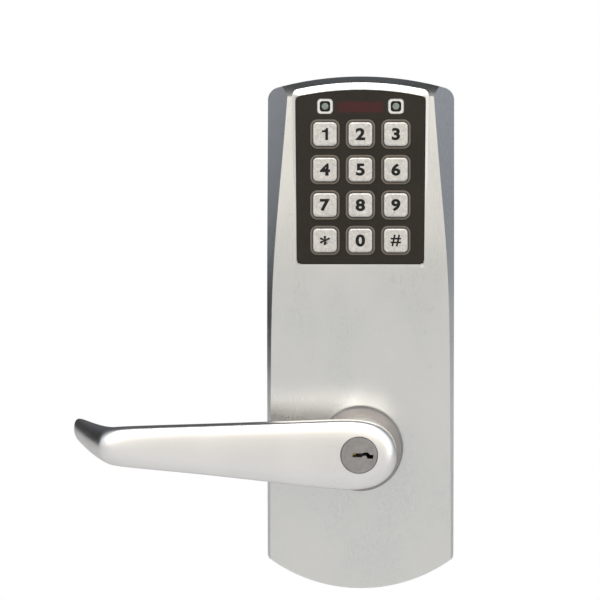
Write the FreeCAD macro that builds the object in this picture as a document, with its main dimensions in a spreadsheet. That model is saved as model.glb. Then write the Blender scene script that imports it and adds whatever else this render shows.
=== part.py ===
"""Outside half of a keypad door lock: die-cast housing, twelve-key pad, return lever with a key cylinder in
its hub, and the clutch between lever and latch spindle.

Frame: +Z up, X along the door, and -Y out of the door towards the user. The origin is where the lever's axis
crosses the face of the door. A depth is a distance out of the door, so a depth of 10 is y = -10.
"""

import FreeCAD
import Part
import math
import os
import Sketcher
from FreeCAD import Placement, Rotation, Vector

DOC = FreeCAD.newDocument("keypad_lock")
SHEET = DOC.addObject("Spreadsheet::Sheet", "dims")


# ---------------------------------------------------------------- sizes that are both a number and a formula
class Size:
    """A length that knows its value and the spreadsheet formula that gives it."""

    def __init__(self, text, value):
        self.text = text
        self.value = value

    def __add__(self, other):
        return combine(self, "+", other, lambda a, b: a + b)

    def __radd__(self, other):
        return combine(other, "+", self, lambda a, b: a + b)

    def __sub__(self, other):
        return combine(self, "-", other, lambda a, b: a - b)

    def __rsub__(self, other):
        return combine(other, "-", self, lambda a, b: a - b)

    def __mul__(self, other):
        return combine(self, "*", other, lambda a, b: a * b)

    def __rmul__(self, other):
        return combine(other, "*", self, lambda a, b: a * b)

    def __truediv__(self, other):
        return combine(self, "/", other, lambda a, b: a / b)

    def __neg__(self):
        return Size(f"(-{self.text})", -self.value)


def as_size(number):
    """A Size from a plain number, or the Size itself."""
    if isinstance(number, Size):
        return number
    return Size(f"({float(number)!r})", float(number))


def combine(left, sign, right, work):
    left = as_size(left)
    right = as_size(right)
    return Size(f"({left.text} {sign} {right.text})", work(left.value, right.value))


def root(size):
    return Size(f"sqrt({size.text})", math.sqrt(size.value))


def cosine(degrees):
    degrees = as_size(degrees)
    return Size(f"cos({degrees.text})", math.cos(math.radians(degrees.value)))


def sine(degrees):
    degrees = as_size(degrees)
    return Size(f"sin({degrees.text})", math.sin(math.radians(degrees.value)))


def sagitta(radius, half_chord):
    """How far an arc of that radius rises over half its chord."""
    return radius - root(radius * radius - half_chord * half_chord)


DRIVING = {
    # housing outline, seen from the front
    "body_width": 87.0,
    "arch_height": 173.3,
    "foot_drop": 66.3,
    "arch_radius": 146.0,
    "foot_radius": 72.0,
    "arch_corner": 6.0,
    "foot_corner": 3.0,
    "wall": 2.6,
    "side_trim": 2.0,
    "gasket_thick": 1.5,
    "gasket_inset": 1.0,
    "gasket_band": 4.2,
    "plate_thick": 2.0,
    "plate_gap": 0.2,
    "cavity_depth": 11.5,
    "deep_half": 33.0,
    "deep_foot": 50.0,
    "deep_depth": 15.5,
    "deep_top": 62.0,
    "roll_start": 158.3,
    "roll_radius": 24.0,
    "roll_depth": 12.0,
    "roll_front": 31.4,
    # raised keypad frame
    "frame_half_top": 31.6,
    "frame_half_foot": 30.9,
    "frame_foot": 84.7,
    "frame_apex": 170.3,
    "frame_depth": 31.8,
    "frame_corner": 3.0,
    "frame_bevel": 2.9,
    "frame_bevel_depth": 1.4,
    "frame_rim": 0.5,
    # dark faceplate in the frame
    "panel_half_top": 30.2,
    "panel_half_foot": 29.5,
    "panel_foot": 86.2,
    "panel_apex": 166.9,
    "panel_arch_radius": 140.0,
    "panel_corner": 2.4,
    "panel_thick": 2.0,
    "seal_thick": 0.25,
    "panel_recess": 0.3,
    "panel_gap": 0.1,
    "panel_edge": 0.3,
    "ledge": 1.8,
    "ledge_thick": 1.5,
    # keys
    "key_pitch": 16.42,
    "key_top_row": 146.5,
    "key_size": 11.4,
    "key_corner": 2.2,
    "key_crown": 0.9,
    "key_stand": 1.7,
    "key_gap": 0.25,
    "key_flange": 0.9,
    "key_flange_thick": 1.2,
    "key_travel": 1.1,
    "collar_width": 0.8,
    "collar_height": 0.35,
    # status lights
    "light_height": 159.3,
    "light_frame": 7.4,
    "light_frame_corner": 1.9,
    "light_frame_stand": 0.5,
    "light_seat": 1.0,
    "light_well": 4.9,
    "light_well_corner": 1.3,
    "lens_radius": 1.6,
    "lens_stand": 0.35,
    "light_body": 3.0,
    # keypad module behind the faceplate
    "mat_thick": 1.2,
    "mat_height": 3.6,
    "mat_rim": 1.4,
    "mat_pad_radius": 3.6,
    "board_thick": 1.6,
    "board_inset": 1.0,
    "board_screw_radius": 1.1,
    "board_screw_head": 2.1,
    "board_screw_head_thick": 1.3,
    "board_screw_length": 6.0,
    "board_screw_x": 26.6,
    "board_boss": 2.0,
    "dome_radius": 2.6,
    "dome_height": 0.5,
    "chip_side": 9.0,
    "chip_thick": 1.4,
    "chip_x": 13.0,
    "chip_height": 119.3,
    "header_width": 16.0,
    "header_height": 5.0,
    "header_thick": 5.5,
    "header_place": 151.3,
    "beeper_radius": 6.0,
    "beeper_thick": 3.2,
    "beeper_height": 109.3,
    # lever, and the parts on its axis
    "hub_radius": 16.7,
    "hub_back": 29.0,
    "lever_front": 62.0,
    "blade_thick": 13.5,
    "blade_round": 6.6,
    "blade_back_round": 3.4,
    "nose_reach": 109.8,
    "nose_rise": 3.4,
    "nose_radius": 9.1,
    "spigot_radius": 14.8,
    "neck_radius": 15.6,
    "sleeve_radius": 11.0,
    "sleeve_bore": 9.3,
    "sleeve_back": 6.4,
    "sleeve_front": 35.0,
    "fit_gap": 0.05,
    "collar_radius": 19.8,
    "collar_bore": 15.2,
    "collar_front": 28.6,
    "collar_seat": 20.4,
    "collar_bevel": 0.9,
    "bush_radius": 13.0,
    "bush_flange_radius": 14.6,
    "bush_flange_thick": 1.8,
    "bush_back": 11.0,
    "hub_tube_radius": 16.8,
    "well_radius": 20.4,
    "well_depth": 18.4,
    "washer_thick": 1.0,
    "washer_radius": 14.6,
    "clip_thick": 1.0,
    "clip_radius": 13.4,
    "clip_groove": 0.8,
    "clip_gap": 6.0,
    "catch_radius": 1.9,
    "catch_depth": 30.6,
    "catch_foot": 9.6,
    # key cylinder
    "shell_radius": 8.4,
    "shell_back": 36.2,
    "shell_front": 62.3,
    "bible_reach": 13.4,
    "bible_half": 3.4,
    "bible_front": 58.6,
    "plug_radius": 6.4,
    "plug_back": 35.0,
    "plug_front": 62.2,
    "keyway_half": 0.9,
    "keyway_inner": 3.1,
    "pin_radius": 1.3,
    "pin_first": 40.5,
    "pin_pitch": 3.9,
    "pin_top": 12.4,
    "key_pin_tip": 1.9,
    "driver_pin_length": 3.0,
    "tail_half_width": 3.4,
    "tail_half_thick": 1.0,
    "tail_end": 7.6,
    "tail_seat": 3.2,
    # clutch and latch spindle
    "driver_radius": 15.6,
    "driver_thick": 2.6,
    "lug_radius": 19.2,
    "lug_half": 8.0,
    "lever_travel": 60.0,
    "stop_outer": 19.8,
    "follower_radius": 8.9,
    "follower_flange_radius": 12.0,
    "follower_flange_thick": 2.2,
    "follower_front": 10.2,
    "follower_recess": 4.2,
    "journal_radius": 7.0,
    "spindle_side": 8.0,
    "spindle_length": 52.0,
    "spindle_front": 6.4,
    "pawl_width": 3.0,
    "pawl_thick": 2.0,
    "pawl_inner": 8.1,
    "pawl_outer": 17.4,
    "pawl_travel": 1.0,
    "pawl_gap": 0.12,
    "shoe_half": 4.0,
    "shoe_height": 2.4,
    "nut_half": 4.0,
    "nut_height": 6.5,
    "nut_foot": 22.0,
    "shoe_travel": 2.4,
    "screw_radius": 1.5,
    "screw_length": 13.0,
    "motor_foot": 33.0,
    "motor_length": 21.0,
    "motor_width": 12.0,
    "motor_depth": 10.0,
    "motor_back": 5.4,
    "bracket_ear": 15.0,
    "bracket_ear_height": 44.0,
    "bracket_boss": 3.4,
    "bracket_thick": 0.7,
    # return spring round the housing's hub tube
    "spring_wire": 1.5,
    "spring_gap": 0.6,
    "spring_turns": 3.0,
    "spring_pitch": 1.65,
    "spring_back": 11.2,
    # fixings
    "post_height_up": 70.0,
    "post_height_down": 46.0,
    "mount_post_radius": 4.0,
    "mount_post_thread": 2.1,
    "mount_post_depth": 16.0,
    "mount_post_reach": 12.0,
    "mount_post_root": 14.0,
    "boss_radius": 6.2,
    "plate_screw_x": 35.0,
    "plate_screw_low": 38.0,
    "plate_screw_mid": 56.0,
    "plate_screw_high": 148.0,
    "plate_screw_radius": 1.5,
    "plate_screw_head": 2.9,
    "plate_screw_head_thick": 1.2,
    "plate_screw_length": 8.0,
    "pillar_radius": 3.6,
    "wire_hole_radius": 6.0,
    "wire_hole_height": 98.0,
    "grommet_lip": 1.6,
    "grommet_bore": 3.6,
}

# The lever's return towards the door: (depth, reach to the left, lowest, highest, thickness) step by step.
RETURN_FIELDS = ("depth", "reach", "low", "high", "thick")
RETURN_STEPS = {
    "a": (53.5, 109.3, -5.8, 12.2, 9.0),
    "b": (47.0, 114.4, -5.0, 12.3, 8.6),
    "c": (39.5, 119.4, -3.4, 12.5, 7.8),
    "d": (30.0, 124.6, -1.4, 13.0, 7.0),
    "e": (21.0, 129.0, 0.8, 13.3, 6.2),
    "f": (14.0, 132.0, 3.2, 13.1, 5.6),
}

# The housing's front, as sections up its height: (height, depth of the front face, how far each side facet
# comes in, how far it drops back at the side wall).
STATIONS = {
    "foot": (-70.0, 19.0, 1.5, 1.5),
    "lever": (-8.0, 23.6, 1.5, 1.6),
    "waist": (41.3, 28.2, 1.9, 2.6),
    "keypad": (85.3, 31.2, 3.2, 6.0),
    "middle": (123.3, 30.6, 6.2, 10.4),
    "shoulder": (159.3, 28.6, 9.2, 13.6),
    "crown": (183.3, 26.4, 10.8, 14.4),
}
STATION_FIELDS = ("height", "depth", "inset", "drop")


def fill_sheet():
    """Writes every driving dimension to the sheet and returns the Sizes by name."""
    values = dict(DRIVING)
    for station, numbers in STATIONS.items():
        for field, number in zip(STATION_FIELDS, numbers):
            values[f"{field}_at_{station}"] = number
    for step, numbers in RETURN_STEPS.items():
        for field, number in zip(RETURN_FIELDS, numbers):
            values[f"return_{field}_{step}"] = number
    sizes = {}
    for row, (name, value) in enumerate(values.items(), start=1):
        SHEET.set(f"A{row}", name)
        SHEET.set(f"B{row}", repr(value))
        SHEET.setAlias(f"B{row}", name)
        sizes[name] = Size(f"dims.{name}", value)
    DOC.recompute()
    return sizes


class Dims:
    """The driving dimensions as attributes, such as D.wall."""

    def __init__(self, sizes):
        self.__dict__.update(sizes)


D = Dims(fill_sheet())
BODIES = {}


# ---------------------------------------------------------------- sketches: all points and radii are bound
def pin_point(wants, geometry, point, x, y):
    """Asks for one point of a sketch to be at x, y from the sketch's origin."""
    for size, kind, axis in ((as_size(x), "DistanceX", -2), (as_size(y), "DistanceY", -1)):
        if abs(size.value) < 1e-9:
            wants.append((Sketcher.Constraint("PointOnObject", geometry, point, axis), None))
        else:
            wants.append((Sketcher.Constraint(kind, -1, 1, geometry, point, size.value), size))


def want_radius(wants, geometry, radius):
    wants.append((Sketcher.Constraint("Radius", geometry, radius.value), radius))


def circle(x, y, radius):
    """A loop: one circle."""

    def add(sketch, wants):
        cx, cy, r = as_size(x), as_size(y), as_size(radius)
        made = Part.Circle(Vector(cx.value, cy.value, 0), Vector(0, 0, 1), r.value)
        geometry = sketch.addGeometry(made, False)
        pin_point(wants, geometry, 3, cx, cy)
        want_radius(wants, geometry, r)

    return add


def arc_through(start, end, radius):
    """The short arc from start to end. A positive radius has its centre on the left of that way."""
    chord = end - start
    middle = (start + end) / 2
    half = chord.Length / 2
    reach = math.sqrt(radius * radius - half * half)
    left = Vector(-chord.y, chord.x, 0).normalize()
    side = 1 if radius > 0 else -1
    centre = middle + left * (reach * side)
    top = centre - left * (abs(radius) * side)
    return Part.Arc(start, top, end)


def polygon(*corners):
    """A closed loop. A corner is (x, y), or (x, y, radius) if the edge that leaves it is an arc."""

    def add(sketch, wants):
        points = [Vector(as_size(c[0]).value, as_size(c[1]).value, 0) for c in corners]
        count = len(points)
        edges = []
        for i, corner in enumerate(corners):
            start, end = points[i], points[(i + 1) % count]
            if len(corner) == 3:
                edge = arc_through(start, end, as_size(corner[2]).value)
                geometry = sketch.addGeometry(edge, False)
                # Sketcher turns every arc counter-clockwise, so a clockwise one has its ends swapped
                first = 1 if as_size(corner[2]).value > 0 else 2
            else:
                geometry = sketch.addGeometry(Part.LineSegment(start, end), False)
                first = 1
            edges.append((geometry, first))
        for i, (geometry, first) in enumerate(edges):
            after, after_first = edges[(i + 1) % count]
            wants.append((Sketcher.Constraint("Coincident", geometry, 3 - first, after, after_first), None))
            pin_point(wants, geometry, first, corners[i][0], corners[i][1])
            if len(corners[i]) == 3:
                radius = as_size(corners[i][2])
                want_radius(wants, geometry, radius if radius.value > 0 else -radius)

    return add


def box(left, right, low, high):
    """A loop: a rectangle."""
    return polygon((left, low), (right, low), (right, high), (left, high))


def square(x, y, side):
    half = as_size(side) / 2
    return box(x - half, x + half, y - half, y + half)


def two_circle_hull(x1, y1, r1, x2, y2, r2):
    """A loop: the outline of a belt round two circles, which needn't be the same size."""

    def add(sketch, wants):
        c1 = Vector(as_size(x1).value, as_size(y1).value, 0)
        c2 = Vector(as_size(x2).value, as_size(y2).value, 0)
        ra, rb = as_size(r1), as_size(r2)
        way = math.atan2(c2.y - c1.y, c2.x - c1.x)
        spread = math.acos((ra.value - rb.value) / (c2 - c1).Length)
        up, down = way + spread, way - spread
        up_way = Vector(math.cos(up), math.sin(up), 0)
        down_way = Vector(math.cos(down), math.sin(down), 0)
        whole = 2 * math.pi
        first = Part.ArcOfCircle(Part.Circle(c1, Vector(0, 0, 1), ra.value), up, down + whole)
        second = Part.ArcOfCircle(Part.Circle(c2, Vector(0, 0, 1), rb.value), down, up)
        low = Part.LineSegment(c1 + down_way * ra.value, c2 + down_way * rb.value)
        high = Part.LineSegment(c2 + up_way * rb.value, c1 + up_way * ra.value)
        a, b, c, d = [sketch.addGeometry(g, False) for g in (first, low, second, high)]
        for one, two in ((a, b), (b, c), (c, d), (d, a)):
            wants.append((Sketcher.Constraint("Tangent", one, 2, two, 1), None))
        pin_point(wants, a, 3, x1, y1)
        pin_point(wants, c, 3, x2, y2)
        want_radius(wants, a, ra)
        want_radius(wants, c, rb)

    return add


# ---------------------------------------------------------------- bodies and features
def new_body(name):
    body = DOC.addObject("PartDesign::Body", name)
    body.Label = name
    body.AllowCompound = True
    BODIES[name] = body
    return body


def draw(body, plane, offset, loops):
    """A sketch on one of the body's origin planes, moved along its normal: XZ faces out of the door."""
    sketch = body.newObject("Sketcher::SketchObject", f"{body.Name}_sketch")
    planes = {feature.Role: feature for feature in body.Origin.OriginFeatures}
    sketch.AttachmentSupport = (planes[plane], [""])
    sketch.MapMode = "FlatFace"
    offset = as_size(offset)
    sketch.AttachmentOffset = Placement(Vector(0, 0, offset.value), Rotation())
    sketch.setExpression("AttachmentOffset.Base.z", offset.text)
    wants = []
    for loop in loops:
        loop(sketch, wants)
    indexes = sketch.addConstraint([constraint for constraint, size in wants])
    for index, (constraint, size) in zip(indexes, wants):
        if size is not None:
            sketch.setExpression(f"Constraints[{index}]", size.text)
    return sketch


def set_length(feature, length):
    length = as_size(length)
    feature.Length = length.value
    feature.setExpression("Length", length.text)


def pad(body, loops, start, end, plane="XZ_Plane"):
    """Adds material between two depths, or two heights on XY_Plane."""
    sketch = draw(body, plane, start, loops)
    feature = body.newObject("PartDesign::Pad", f"{body.Name}_pad")
    feature.Profile = sketch
    set_length(feature, as_size(end) - start)
    DOC.recompute()
    return feature


def cut(body, loops, start, end, plane="XZ_Plane"):
    """Removes material between two depths, or two heights on XY_Plane."""
    before = body.Shape.Volume
    sketch = draw(body, plane, start, loops)
    feature = body.newObject("PartDesign::Pocket", f"{body.Name}_pocket")
    feature.Profile = sketch
    feature.Reversed = True
    set_length(feature, as_size(end) - start)
    DOC.recompute()
    if not body.Shape.Volume < before - 1e-6:
        raise RuntimeError(f"a pocket of {body.Label} cut nothing")
    return feature


def solid(name, loops, start, end, plane="XZ_Plane"):
    """A new body that is one straight pad."""
    body = new_body(name)
    pad(body, loops, start, end, plane)
    return body


def turned(body, loop, kind="PartDesign::Revolution"):
    """Spins a loop on YZ_Plane (x is y, y is height) round the lever's axis."""
    sketch = draw(body, "YZ_Plane", 0, [loop])
    feature = body.newObject(kind, f"{body.Name}_turned")
    feature.Profile = sketch
    feature.ReferenceAxis = (sketch, ["H_Axis"])
    feature.Angle = 360
    DOC.recompute()
    return feature


def ring_profile(inner, outer, back, front):
    """A loop for turned(): a rectangle from one radius and depth to another."""
    return box(-as_size(front), -as_size(back), inner, outer)


def dress(body, kind, size, chosen):
    """A fillet or chamfer on the edges that chosen(edge) picks."""
    tip = body.Tip
    names = [f"Edge{i + 1}" for i, edge in enumerate(tip.Shape.Edges) if chosen(edge)]
    if not names:
        raise RuntimeError(f"{body.Label}: no edge to dress")
    feature = body.newObject(kind, f"{body.Name}_edge")
    feature.Base = (tip, names)
    size = as_size(size)
    if kind == "PartDesign::Fillet":
        feature.Radius = size.value
        feature.setExpression("Radius", size.text)
    else:
        feature.Size = size.value
        feature.setExpression("Size", size.text)
    DOC.recompute()
    if "Invalid" in feature.State or "Error" in feature.State:
        raise RuntimeError(f"{body.Label}: {kind} failed")
    return feature


def round_edges(body, size, chosen):
    return dress(body, "PartDesign::Fillet", size, chosen)


def bevel_edges(body, size, chosen, second=None):
    """A chamfer, of equal sides unless a second size is given."""
    feature = dress(body, "PartDesign::Chamfer", size, chosen)
    if second is not None:
        feature.ChamferType = "Two distances"
        feature.Size2 = second.value
        feature.setExpression("Size2", second.text)
        DOC.recompute()
    return feature


def runs_out(edge):
    """True if an edge runs straight out of the door."""
    box_of = edge.BoundBox
    return box_of.XLength < 1e-3 and box_of.ZLength < 1e-3


def at_depth(depth, slack=1e-4):
    """Picks edges that lie wholly at one depth."""
    level = -as_size(depth).value

    def chosen(edge):
        box_of = edge.BoundBox
        return abs(box_of.YMin - level) < slack and abs(box_of.YMax - level) < slack

    return chosen


# ================================================================ housing
half_width = D.body_width / 2


def housing_outline(inset=0):
    """The housing's outline from the front: straight sides, an arched head and a rounder foot."""
    half = half_width - inset
    head_radius = D.arch_radius - inset
    foot_radius = D.foot_radius - inset
    head = D.arch_height - inset - sagitta(head_radius, half)
    foot = -(D.foot_drop - inset - sagitta(foot_radius, half))
    return polygon((-half, foot, foot_radius), (half, foot), (half, head, head_radius), (-half, head))


def arched_loop(half_foot, half_top, foot, apex):
    """A loop: an upright panel with a straight foot, sides that lean a little and an arched head."""
    ends = apex - sagitta(D.panel_arch_radius, half_top)
    radius = D.panel_arch_radius
    return polygon((-half_foot, foot), (half_foot, foot), (half_top, ends, radius), (-half_top, ends))


def panel_loop(grow=0):
    """The keypad faceplate's outline, grown all round by that much."""
    return arched_loop(
        D.panel_half_foot + grow, D.panel_half_top + grow, D.panel_foot - grow, D.panel_apex + grow
    )


def rounded_square(x, z, side, corner):
    """A loop: a square with rounded corners, about its centre."""
    half = as_size(side) / 2
    near = half - corner
    return polygon(
        (x - near, z - half),
        (x + near, z - half, corner),
        (x + half, z - near),
        (x + half, z + near, corner),
        (x + near, z + half),
        (x - near, z + half, corner),
        (x - half, z + near),
        (x - half, z - near, corner),
    )


def ring_piece(inner, outer, first, last):
    """A loop: part of a ring about the lever's axis between two angles in degrees, from +X towards +Z."""
    inner, outer = as_size(inner), as_size(outer)
    return polygon(
        (inner * cosine(first), inner * sine(first)),
        (outer * cosine(first), outer * sine(first), outer),
        (outer * cosine(last), outer * sine(last)),
        (inner * cosine(last), inner * sine(last), -inner),
    )


def upright_corners(low, high, least=0.0):
    """Picks edges that run out of the door between two heights and lie at least that far from x = 0."""

    def chosen(edge):
        centre = edge.BoundBox.Center
        return runs_out(edge) and low < centre.z < high and abs(centre.x) > least

    return chosen


# depths of the keypad's layers, from the faceplate in to the board
panel_front = D.frame_depth - D.panel_recess
panel_back = panel_front - D.panel_thick
ledge_front = panel_back - D.seal_thick
ledge_back = ledge_front - D.ledge_thick
board_front = ledge_back - D.mat_height
board_back = board_front - D.board_thick
key_back = panel_back - D.fit_gap - D.key_flange_thick
key_front = panel_front + D.key_stand
plate_front = D.gasket_thick + D.plate_thick

# depths of the parts on the lever's axis
washer_back = D.collar_seat + D.bush_flange_thick
spigot_back = washer_back + D.washer_thick + D.fit_gap
clip_front = D.bush_back - D.fit_gap
clip_back = clip_front - D.clip_thick
driver_front = D.sleeve_back + D.driver_thick
bore = D.fit_gap * 2

light_xs = (-D.key_pitch, D.key_pitch)
post_heights = {"upper_mounting_post": D.post_height_up, "lower_mounting_post": -D.post_height_down}
plate_screws = [
    (D.plate_screw_x * side, height)
    for side in (-1, 1)
    for height in (-D.plate_screw_low, D.plate_screw_mid, D.plate_screw_high)
]
board_screw_heights = [D.key_top_row - D.key_pitch * up for up in (0.5, 2.5)]
board_screws = [(D.board_screw_x * side, z) for side in (-1, 1) for z in board_screw_heights]
bracket_screws = [(D.bracket_ear * side, D.bracket_ear_height) for side in (-1, 1)]


def key_place(column, row):
    return D.key_pitch * (column - 1), D.key_top_row - D.key_pitch * row


key_places = [key_place(column, row) for row in range(4) for column in range(3)]


def make_housing():
    """Die-cast shell. Its front bows out to the keypad, and its sides fall back in two long facets."""
    body = new_body("front_housing")
    sections = []
    for station in STATIONS:
        depth = getattr(D, f"depth_at_{station}")
        inset = getattr(D, f"inset_at_{station}")
        drop = getattr(D, f"drop_at_{station}")
        # the facet runs on past the side wall, which is trimmed later
        over = D.side_trim
        side = depth - drop - drop / inset * over
        loop = polygon(
            (-half_width - over, -D.gasket_thick),
            (-half_width - over, -side),
            (-half_width + inset, -depth),
            (half_width - inset, -depth),
            (half_width + over, -side),
            (half_width + over, -D.gasket_thick),
        )
        sections.append(draw(body, "XY_Plane", getattr(D, f"height_at_{station}"), [loop]))
    loft = body.newObject("PartDesign::AdditiveLoft", "housing_front")
    loft.Profile = sections[0]
    loft.Sections = sections[1:]
    DOC.recompute()
    # the shoulders roll back to a low edge at the head
    front = D.frame_depth + 10
    high = D.arch_height + 20
    roll = polygon(
        (-front, D.roll_start),
        (-D.roll_front, D.roll_start, -D.roll_radius),
        (-D.roll_depth, D.arch_height),
        (-D.roll_depth, high),
        (-front, high),
    )
    cut(body, [roll], -D.body_width, D.body_width, "YZ_Plane")
    edge = D.body_width
    around = box(-edge, edge, -D.foot_drop - edge, D.arch_height + edge)
    cut(body, [around, housing_outline()], 0, front)
    round_edges(body, D.arch_corner, upright_corners(150, 175, 30))
    round_edges(body, D.foot_corner, upright_corners(-70, -30, 30))
    # the raised frame round the keypad, with a broad bevel along its arched head
    frame = arched_loop(D.frame_half_foot, D.frame_half_top, D.frame_foot, D.frame_apex)
    pad(body, [frame], D.cavity_depth - 2, D.frame_depth)
    round_edges(body, D.frame_corner, frame_corner_edge)
    bevel_edges(body, D.frame_bevel_depth, frame_head_edge, D.frame_bevel)
    # hollow it from the back, then the keypad's bay, its ledge and the faceplate's seat
    cut(body, [housing_outline(D.wall)], 0, D.cavity_depth)
    cut(body, [box(-D.deep_half, D.deep_half, -D.deep_foot, D.deep_top)], 0, D.deep_depth)
    cut(body, [panel_loop()], 0, ledge_back)
    cut(body, [panel_loop(-D.ledge)], 0, front)
    cut(body, [panel_loop(D.panel_gap)], ledge_front, front)
    for x, z in board_screws:
        side = 1 if x.value > 0 else -1
        wall = x + side * (D.board_boss * 1.5)
        ear = box(x, wall, z - D.board_boss, z + D.board_boss)
        if side < 0:
            ear = box(wall, x, z - D.board_boss, z + D.board_boss)
        pad(body, [circle(x, z, D.board_boss)], board_front, ledge_front)
        pad(body, [ear], board_front, ledge_front)
    screw_holes = [circle(x, z, D.board_screw_radius + 0.03) for x, z in board_screws]
    cut(body, screw_holes, board_front, ledge_front - 0.4)
    # the lever's bearing: a well for the return spring with a tube standing in it
    cut(body, [circle(0, 0, D.well_radius)], 0, D.well_depth)
    pad(body, [circle(0, 0, D.hub_tube_radius)], D.bush_back, D.well_depth + 1)
    cut(body, [circle(0, 0, D.bush_radius + 0.04)], 0, D.collar_seat + 20)
    cut(body, [circle(0, 0, D.collar_radius + 0.1)], D.collar_seat, front)
    # bosses for the two mounting posts and pillars for the back plate's screws
    for name, z in post_heights.items():
        pad(body, [circle(0, z, D.boss_radius)], plate_front, D.deep_depth + 1)
    pad(body, [circle(x, z, D.pillar_radius) for x, z in plate_screws], plate_front, D.deep_depth + 1)
    for name, z in post_heights.items():
        cut(body, [circle(0, z, D.mount_post_radius + 0.02)], 0, D.mount_post_root)
    screw_holes = [circle(x, z, D.plate_screw_radius + 0.03) for x, z in plate_screws]
    cut(body, screw_holes, 0, D.plate_screw_length + 3)
    # pads the motor's bracket is screwed to
    pad(body, [circle(x, z, D.bracket_boss) for x, z in bracket_screws], D.motor_back, D.deep_depth + 1)
    cut(body, [circle(x, z, D.plate_screw_radius + 0.03) for x, z in bracket_screws], 0, D.deep_depth + 2)
    return body


def frame_corner_edge(edge):
    """The two upright corners at the head of the keypad's frame."""
    centre = edge.BoundBox.Center
    near = abs(abs(centre.x) - D.frame_half_top.value) < 0.02
    return runs_out(edge) and near and centre.z > D.panel_apex.value - 5


def frame_head_edge(edge):
    """The frame's front edge along its arched head and round its two corners."""
    centre = edge.BoundBox.Center
    flat = at_depth(D.frame_depth)(edge)
    return flat and edge.BoundBox.ZMin > D.frame_apex.value - 9


def make_back():
    """The plate that closes the housing, the gasket on the door, the screws and the two threaded posts."""
    outline = housing_outline(D.wall + D.plate_gap)
    body = solid("back_plate", [outline], D.gasket_thick, plate_front)
    cut(body, [circle(0, 0, D.journal_radius + D.fit_gap)], 0, plate_front + 1)
    for z in post_heights.values():
        cut(body, [circle(0, z, D.mount_post_radius + 0.1)], 0, plate_front + 1)
    cut(body, [circle(x, z, D.plate_screw_radius + 0.2) for x, z in plate_screws], 0, plate_front + 1)
    cut(body, [circle(0, D.wire_hole_height, D.wire_hole_radius)], 0, plate_front + 1)

    inner = housing_outline(D.gasket_inset + D.gasket_band)
    solid("door_gasket", [housing_outline(D.gasket_inset), inner], 0, D.gasket_thick)

    for name, z in post_heights.items():
        body = solid(name, [circle(0, z, D.mount_post_radius)], -D.mount_post_reach, D.mount_post_root)
        thread_end = D.mount_post_depth - D.mount_post_reach
        cut(body, [circle(0, z, D.mount_post_thread)], -D.mount_post_reach, thread_end)
        bevel_edges(body, 0.5, at_depth(-D.mount_post_reach))

    under = D.gasket_thick - D.plate_screw_head_thick
    heads = [circle(x, z, D.plate_screw_head) for x, z in plate_screws]
    body = solid("plate_screws", heads, under, D.gasket_thick)
    shanks = [circle(x, z, D.plate_screw_radius) for x, z in plate_screws]
    pad(body, shanks, D.gasket_thick, D.gasket_thick + D.plate_screw_length)
    for x, z in plate_screws:
        cut(body, [cross_loop(x, z, 1.7, 0.35)], 0, under + 0.7)

    lip_back = D.gasket_thick - 1.1
    lip_front = plate_front + 1.1
    place = (0, D.wire_hole_height)
    lip = circle(*place, D.wire_hole_radius + D.grommet_lip)
    body = solid("cable_grommet", [lip], lip_back, D.gasket_thick)
    pad(body, [circle(*place, D.wire_hole_radius)], D.gasket_thick, plate_front)
    pad(body, [circle(*place, D.wire_hole_radius + D.grommet_lip)], plate_front, lip_front)
    cut(body, [circle(*place, D.grommet_bore)], 0, lip_front + 1)


def cross_loop(x, z, reach, half):
    """A loop: the cross recess of a screw."""
    return polygon(
        (x - reach, z - half), (x - half, z - half), (x - half, z - reach), (x + half, z - reach),
        (x + half, z - half), (x + reach, z - half), (x + reach, z + half), (x + half, z + half),
        (x + half, z + reach), (x - half, z + reach), (x - half, z + half), (x - reach, z + half),
    )


# ================================================================ keypad
def make_faceplate():
    """Moulded dark plate with a low collar round each key and a seat for each status light."""
    body = solid("keypad_faceplate", [panel_loop()], panel_back, panel_front)
    round_edges(body, D.panel_corner, upright_corners(80, 90, 20))
    round_edges(body, D.frame_corner - D.frame_rim, upright_corners(150, 170, 20))
    bevel_edges(body, D.panel_edge, at_depth(panel_front))
    hole = D.key_size + D.key_gap * 2
    outer = hole + D.collar_width * 2
    corner = D.key_corner + D.key_gap
    for x, z in key_places:
        rim = rounded_square(x, z, outer, corner + D.collar_width)
        pad(body, [rim], panel_front - 0.5, panel_front + D.collar_height)
        cut(body, [rounded_square(x, z, hole, corner)], panel_back - 1, panel_front + 2)
    seats = [rounded_square(x, D.light_height, D.light_frame, D.light_frame_corner) for x in light_xs]
    cut(body, seats, panel_front - D.light_seat, panel_front + 1)
    holes = [circle(x, D.light_height, D.lens_radius + 0.05) for x in light_xs]
    cut(body, holes, panel_back - 1, panel_front)

    solid("panel_seal", [panel_loop(-0.3), panel_loop(-D.ledge)], ledge_front, panel_back)


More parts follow.
